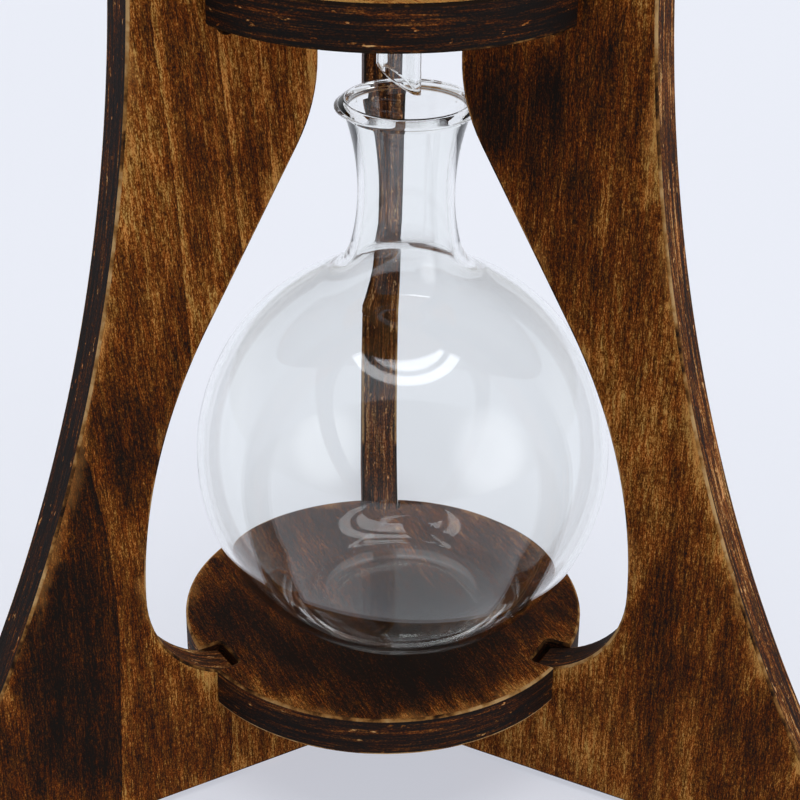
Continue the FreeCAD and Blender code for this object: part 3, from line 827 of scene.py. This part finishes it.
def make_shelves():
    make_shelf("lower_shelf", lower_low, lower_high, -68, None, LOWER_BURNS, -0.06, 3.3, 1.1)
    hole = (chamber_x, chamber_hole)
    make_shelf("middle_shelf", middle_low, middle_high, -50, hole, MIDDLE_BURNS_AND_SHEEN, -0.02, 5.1, 0.6)
    hole = (0, globe_seat_bore + globe_seat_wall)
    make_shelf("upper_shelf", upper_low, upper_high, -60, hole, UPPER_BURNS, -0.05, 7.7, 0.7)


# ---- glassware ----
flask_wall = 1.8 * MM
flask_base = 28.4 * MM
base_thickness = 3 * MM
neck_foot = 18 * MM
flask_throat = 13.4 * MM
throat_rise = 20.6 * MM
neck_wall = 1.7 * MM
flask_collar = 17.4 * MM
flask_bore = 16.2 * MM
bore_depth = 4.5 * MM     # the bore is straight down to here
flask_mouth = 17 * MM
flask_lip = 20.3 * MM
lip_thickness = 3.2 * MM
lip_drop = 0.8 * lip_thickness      # the lip is widest this far below its rim
lip_round = 1.2 * MM
foot_round = 4 * MM
inner_round = 12 * MM
shoulder_round = 8 * MM
flask_punt = 0.9 * MM
punt_edge = 9 * MM
flask_centre = flask_low.z + math.sqrt(flask_radius ** 2 - flask_base ** 2)


def arc_radius(shift, rise):
    """Radius of an arc that leaves upright and shifts sideways over a rise."""
    return (shift ** 2 + rise ** 2) / (2 * shift)


def flask_skin(floor, punt, corner, ball, foot, throat, collar, depth):
    """Outside or inside of the flask, from the axis over its base and up to the collar."""
    base = math.sqrt(ball ** 2 - (flask_centre - floor) ** 2)
    foot_height = flask_centre + math.sqrt(ball ** 2 - foot ** 2)
    throat_height = flask_centre + flask_radius + throat_rise
    waist = arc_radius(foot - throat, throat_height - foot_height)
    flare_rise = flask_high.z - depth - throat_height
    flare = arc_radius(collar - throat, flare_rise)
    shape = Outline(0, floor + punt, SMOOTH_TURN, 2 * MM)
    shape.lines((base - punt_edge, floor + punt * 0.7), (base, floor, corner))
    turn = math.atan2(foot_height - flask_centre, foot) - math.atan2(floor - flask_centre, base)
    shape.arc(0, flask_centre, turn, shoulder_round)
    shape.arc(throat + waist, throat_height, -math.asin((throat_height - foot_height) / waist))
    shape.arc(throat + flare, throat_height, -math.asin(flare_rise / flare), soft=lip_round / 2)
    return shape


def make_flask():
    """Thin blown flask with a waisted neck and a thick fire-polished lip."""
    shape = flask_skin(flask_low.z, flask_punt, foot_round, flask_radius, neck_foot,
                       flask_throat, flask_collar, lip_thickness)
    inside = flask_skin(flask_low.z + base_thickness, 0, inner_round,
                        flask_radius - flask_wall, neck_foot - flask_wall,
                        flask_throat - neck_wall, flask_bore, bore_depth)
    top = flask_high.z
    shape.lines((flask_lip, top - lip_drop, lip_round), (flask_mouth, top, lip_round / 2),
                (flask_bore, top - lip_drop / 2, lip_round / 2),
                (flask_bore, top - bore_depth))
    points = shape.rounded() + inside.rounded()[-2::-1]
    mesh = turned_mesh("flask_glassware", points, flask_x, FLASK_SEGMENTS)
    glass_piece("flask_glassware", mesh, "flask", "serving_flask")


chamber_wall = 2 * MM
tube_radius = 6 * MM
tube_bore = 4.25 * MM
tube_slant = 8.6 * MM
seat_mouth = 25.7 * MM
seat_flange = 3 * MM
seat_flange_width = 5 * MM
seat_sleeve = 8 * MM
seat_air = 0.3 * MM
seat_sleeve_round = 0.6 * MM
seat_flange_round = 0.5 * MM
seat_top_round = 1.2 * MM
seat_mouth_round = 1 * MM
cone_start = middle_high.z + seat_flange - (seat_mouth - tube_radius)
fire_polish = 0.5 * MM
tube_bend = 2 * MM
cone_bend = 5 * MM


def make_chamber():
    """Open glass cylinder with a cone and a drip tube cut aslant."""
    inner = chamber_radius - chamber_wall
    rise = chamber_wall * math.sqrt(2)
    cone_end = cone_start + chamber_radius - tube_radius
    tip = chamber_low.z
    tip_end = tip + 2 * fire_polish
    brim = chamber_high.z - chamber_wall / 2
    shape = Outline(tube_bore + fire_polish, tip, SMOOTH_TURN, 5 * MM)
    shape.lines((tube_radius - fire_polish, tip), (tube_radius, tip + fire_polish),
                (tube_radius, tip_end), (tube_radius, cone_start, tube_bend),
                (chamber_radius, cone_end, cone_bend), (chamber_radius, brim))
    shape.arc(chamber_radius - chamber_wall / 2, brim, math.pi)
    shape.lines((inner, cone_start + inner - tube_radius + rise, cone_bend),
                (tube_bore, cone_start + tube_bore - tube_radius + rise, tube_bend),
                (tube_bore, tip_end), (tube_bore, tip + fire_polish))
    cut_top = tip + fire_polish * 2.01

    def slanted(x, height):
        """The tube's end is cut aslant, lowest to the right."""
        return tube_slant / 2 * (1 - x / tube_radius) if height < cut_top else 0

    points = [p for p in shape.rounded() if p.y < cut_top or p.y > tip + tube_slant + 1 * MM]
    mesh = turned_mesh("chamber_glassware", points, chamber_x, shear=slanted)
    glass_piece("chamber_glassware", mesh, "chamber", "coffee_chamber")


def make_chamber_seat():
    """Moulded silicone ring with a conical bore and a soft flange."""
    bottom = middle_high.z - seat_sleeve
    top = middle_high.z + seat_flange
    air = seat_air * math.sqrt(2)
    sleeve = chamber_hole - slot_air / 2
    flange = chamber_hole + seat_flange_width
    toe = tube_radius + bottom - cone_start + air
    seat = Outline(toe, bottom, SMOOTH_TURN)
    seat.lines((sleeve, bottom, seat_sleeve_round), (sleeve, middle_high.z),
               (flange, middle_high.z, seat_flange_round), (flange, top, seat_top_round),
               (seat_mouth + air, top, seat_mouth_round), (toe, bottom))
    turned_piece("chamber_seat_ring", seat.closed(), SILICONE, "frame", "chamber_seat",
                 chamber_x)


# ---- water globe, its seat and its lid ----
globe_wall = 2 * MM
globe_blend = 6 * MM
mouth_radius = 24 * MM
stem_radius = 7 * MM
stem_bore = 3 * MM
drip_length = 20 * MM
drip_radius = 2.6 * MM
drip_shoulder = 4.5 * MM
drip_round = 0.6 * MM
drip_bend = 3 * MM
drip_bore = 1.2 * MM
barrel_radius = 8 * MM
barrel_length = 26 * MM
barrel_round = 0.8 * MM
key_bore = 4.55 * MM
barrel_z = globe_low.z + drip_length + barrel_radius


def globe_skin(inset_by, stem):
    """Outside or inside of the globe, from the stopcock barrel up to the rim of its mouth."""
    ball = globe_radius - inset_by
    blend = globe_blend + inset_by
    mouth = mouth_radius - inset_by
    low_rise = math.sqrt((ball + blend) ** 2 - (stem + blend) ** 2)
    high_rise = math.sqrt((ball + blend) ** 2 - (mouth + blend) ** 2)
    low_turn = math.atan2(low_rise, stem + blend)
    high_turn = math.atan2(high_rise, mouth + blend)
    shape = Outline(stem, barrel_z, SMOOTH_TURN)
    shape.line(stem, globe_z - low_rise)
    shape.arc(stem + blend, globe_z - low_rise, -low_turn)
    shape.arc(0, globe_z, low_turn + high_turn)
    shape.arc(mouth + blend, globe_z + high_rise, -high_turn)
    shape.line(mouth, globe_high.z - globe_wall / 2)
    return shape


def rod(name, radius, low, high, corner=0):
    """Round rod on the Z axis between two heights."""
    shape = Outline(0, low, SMOOTH_TURN)
    shape.lines((radius, low, corner), (radius, high, corner), (0, high))
    return turned_mesh(name, shape.rounded())


def lengthwise(mesh):
    """Lay a mesh that is made about the Z axis along the stopcock barrel."""
    mesh.transform(Matrix.Translation((0, 0, barrel_z)) @ Matrix.Rotation(math.pi / 2, 4, "X"))
    return mesh


def make_globe():
    """Water globe, stopcock barrel and drip tip in one piece of glass."""
    skin = globe_skin(0, stem_radius)
    skin.arc(mouth_radius - globe_wall / 2, globe_high.z - globe_wall / 2, math.pi)
    points = skin.points + globe_skin(globe_wall, stem_bore).points[-2::-1]
    tip = Outline(0, globe_low.z, SMOOTH_TURN)
    tip.lines((drip_radius, globe_low.z, drip_round),
              (drip_shoulder, globe_low.z + drip_length / 2, drip_bend), (drip_shoulder, barrel_z),
              (0, barrel_z))
    half = barrel_length / 2
    solids = [turned_mesh("globe_body", points),
              lengthwise(rod("barrel", barrel_radius, -half, half, barrel_round)),
              turned_mesh("drip_tip", tip.rounded())]
    cuts = [rod("outlet", stem_bore - slot_air, barrel_z, barrel_z + barrel_radius + slot_air),
            lengthwise(rod("key_way", key_bore, -barrel_length, barrel_length)),
            rod("drip_way", drip_bore, globe_low.z - drip_bore, barrel_z)]
    mesh = combined_mesh("globe_glassware", solids, cuts)
    glass_piece("globe_glassware", mesh, "globe", "water_globe")


ring_foot_round = 0.5 * MM
ring_flange_round = 0.6 * MM
ring_top_round = 0.35 * MM


def make_globe_seat():
    """Silicone ring in the upper shelf, hollowed to the globe."""
    low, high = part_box("globe_seat")
    hollow = globe_radius + seat_air
    bore = globe_seat_bore
    sleeve = bore + globe_seat_wall - slot_air / 2
    rim = math.sqrt(hollow ** 2 - (globe_z - high.z) ** 2)
    turn = math.asin((globe_z - high.z) / hollow) - math.acos(bore / hollow)
    seat = Outline(bore, low.z, SMOOTH_TURN)
    seat.lines((sleeve, low.z, ring_foot_round), (sleeve, upper_high.z),
               (high.x, upper_high.z, ring_flange_round), (high.x, high.z, ring_top_round),
               (rim, high.z))
    seat.arc(0, globe_z, turn)
    seat.line(bore, low.z)
    turned_piece("globe_seat_ring", seat.closed(), SILICONE, "frame", "globe_seat")


screw_hole = 2.1 * MM
screw_head_hole = 4.1 * MM
screw_head_height = 2.4 * MM
screw_reach = 13 * MM
lid_round = 2 * MM
plug_round = 1.2 * MM
knob_waist = 6.5 * MM
knob_foot_round = 0.5 * MM
knob_waist_bend = 1.5 * MM
knob_neck_bend = 1 * MM
knob_brim_round = 2 * MM


def make_lid():
    """Plywood lid with a hole for the screw, and the plug under it."""
    loops = [circle(0, 0, lid_high.x, 2 * math.pi), circle(0, 0, screw_hole)]
    edges = [(lambda point: point.length > lid_high.x - ON_RIM, 3, 0.8)]
    mesh = plate_mesh("globe_lid_wood", loops, lid_high.z - lid_low.z, level_basis(lid_low, lid_high), edges,
                      [(0, 0, 60, 60, -0.25)], lambda point: -0.35, 9.1, ease=lid_round)
    new_piece("globe_lid_wood", mesh, SHELF_FINISH, "lid", "globe_lid")

    bottom, top = plug_low.z, plug_high.z
    ledge = bottom + screw_head_height
    plug = Outline(screw_head_hole, bottom)
    plug.lines((plug_high.x, bottom, plug_round), (plug_high.x, top), (screw_hole, top), (screw_hole, ledge),
               (screw_head_hole, ledge), (screw_head_hole, bottom))
    turned_piece("lid_plug_wood", plug.closed(), PLUG_WOOD, "lid", "lid_plug")


def make_knob():
    """Turned knob with a waist and a domed top."""
    bottom = knob_low.z
    radius = knob_high.x
    groove = radius - knob_waist
    crown = knob_high.z - radius / 2
    dome = ((radius / 2) ** 2 + radius ** 2) / radius
    knob = Outline(0, bottom + screw_reach, SMOOTH_TURN, 1 * MM)
    knob.lines((screw_hole, bottom + screw_reach), (screw_hole, bottom),
               (radius - groove / 2, bottom, knob_foot_round),
               (knob_waist, bottom + groove, knob_waist_bend),
               (knob_waist, crown - 2 * groove))
    knob.arc(knob_waist + groove, crown - 2 * groove, -math.pi / 2, knob_neck_bend)
    knob.line(radius, crown, knob_brim_round)
    knob.arc(0, knob_high.z - dome, math.asin(radius / dome))
    turned_piece("lid_knob_wood", knob.rounded(), KNOB_WOOD, "lid", "lid_knob")


make_legs()
make_shelves()
make_flask()
make_chamber()
make_chamber_seat()
make_globe()
make_globe_seat()
make_lid()
make_knob()

NODE_FINISHES = (
    (RUBBER, "foot_pad_back", "foot_pad_front_left", "foot_pad_front_right", "key_o_ring"),
    (SILICONE, "filter_seal", "lid_seal"), (STEEL, "filter_screen"), (BRASS, "lid_screw"),
    (PLASTIC, "stopcock_key", "key_washer", "key_nut"),
)
for material, *nodes in NODE_FINISHES:
    for node in nodes:
        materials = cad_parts[node].data.materials
        materials.clear()
        materials.append(material)


# ---- floor, light and camera ----
FLOOR_RADIUS = 6
FLOOR_SHADES = [(0.3, (0.34, 0.35, 0.36, 1)), (0.7, (0.36, 0.37, 0.38, 1))]
FLOOR_GLOW = (0.5, 0.515, 0.575, 1)

# The studio dome is bright near the horizon and dim overhead.
DOME_TINT = (0.96, 0.97, 1, 1)
DOME_HEIGHTS = (0.1, 0.45)
DOME_LEVELS = (0.6, 0.26)

# Its lamp overhead, by the slope from straight up.
LAMP_ASIDE = 0.02
LAMP_EDGES = ((0.32, -1), (0.38, 1), (0.49, -1))      # a disc, then a ring round it
LAMP_SOFT = 0.02
LAMP_POWER = 4

# Its soft spots, a lamp at the side and the dim room in front of the tower: turn, rise and reach in
# degrees, and the level outside and inside.
SIDE_SPOT = (50, 17, 26, 0, 1.6)
DUSK_SPOT = (0, 25, 50, 1, 0.3)

# Camera, solved from the rims of the shelves, the legs and the flask in the photo.
CAMERA_PLACE = (-12.89 * MM, -491.51 * MM, 367.93 * MM)
CAMERA_TURNS = ((-0.035, "Z"), (math.pi / 2 - 0.482, "X"), (0.013, "Z"))    # yaw, pitch, roll
CAMERA_LENS = 86.445            # mm, before a sensor this wide
CAMERA_SENSOR = 36
CLIP_START = 0.01
GLASS_BOUNCES = 24


def make_floor():
    mesh = bmesh.new()
    bmesh.ops.create_circle(mesh, cap_ends=True, radius=FLOOR_RADIUS, segments=96)
    floor = new_object("floor", smooth_mesh("floor", mesh, 30))
    paint = Finish("pale_floor")
    cloud = paint.noise(paint.place(), scale=1.5, detail=1)
    paint.shade(Base_Color=paint.ramp(cloud, FLOOR_SHADES), Roughness=0.9, Specular_IOR_Level=0,
                Emission_Color=FLOOR_GLOW, Emission_Strength=1)
    floor.data.materials.append(paint.material)


def make_light():
    """Studio dome with a ringed lamp above and a soft lamp at the side."""
    world = scene.world = bpy.data.worlds.new("studio")
    world.use_nodes = True
    dome = Nodes(world.node_tree)
    toward = dome.place("Generated")
    height = dome.node("SeparateXYZ", "Z", {0: toward})
    level = dome.sums("MAXIMUM", height, 0.001)
    slope = dome.vectors("DIVIDE", 0, dome.scaled(toward, 1, 1, 0), level)
    apart = dome.vectors("DISTANCE", "Value", slope, (LAMP_ASIDE, 0, 0))
    lamp = 1
    for edge, change in LAMP_EDGES:
        lamp = dome.sums("ADD", lamp, dome.step(apart, edge, edge + LAMP_SOFT, 0, change))

    def spot(turn, rise, reach, outside, inside):
        """Soft round spot, at a turn from the front and a rise over the horizon."""
        turn, rise, reach = (math.radians(angle) for angle in (turn, rise, reach))
        middle = (math.sin(turn) * math.cos(rise), -math.cos(turn) * math.cos(rise), math.sin(rise))
        near = dome.vectors("DOT_PRODUCT", "Value", toward, middle)
        return dome.step(near, math.cos(reach), math.cos(reach / 3), outside, inside)

    power = dome.sums("MULTIPLY_ADD", lamp, LAMP_POWER, spot(*SIDE_SPOT))
    room = dome.step(height, *DOME_HEIGHTS, *DOME_LEVELS)
    power = dome.sums("MULTIPLY_ADD", spot(*DUSK_SPOT), room, power)
    background = world.node_tree.nodes["Background"]
    background.inputs["Color"].default_value = DOME_TINT
    dome.feed(background.inputs["Strength"], power)


def make_camera():
    """Camera a little left of the front, looking down at the flask."""
    camera = new_object("camera", bpy.data.cameras.new("camera"))
    place = Matrix.Translation(CAMERA_PLACE)
    for angle, axis in CAMERA_TURNS:
        place = place @ Matrix.Rotation(angle, 4, axis)
    camera.matrix_world = place
    camera.data.lens = CAMERA_LENS
    camera.data.sensor_width = CAMERA_SENSOR
    camera.data.clip_start = CLIP_START
    scene.camera = camera


make_floor()
make_light()
make_camera()
scene.view_settings.view_transform = "Standard"
scene.cycles.max_bounces = GLASS_BOUNCES
scene.cycles.transmission_bounces = GLASS_BOUNCES
scene.cycles.glossy_bounces = 12
scene.cycles.sample_clamp_indirect = 8
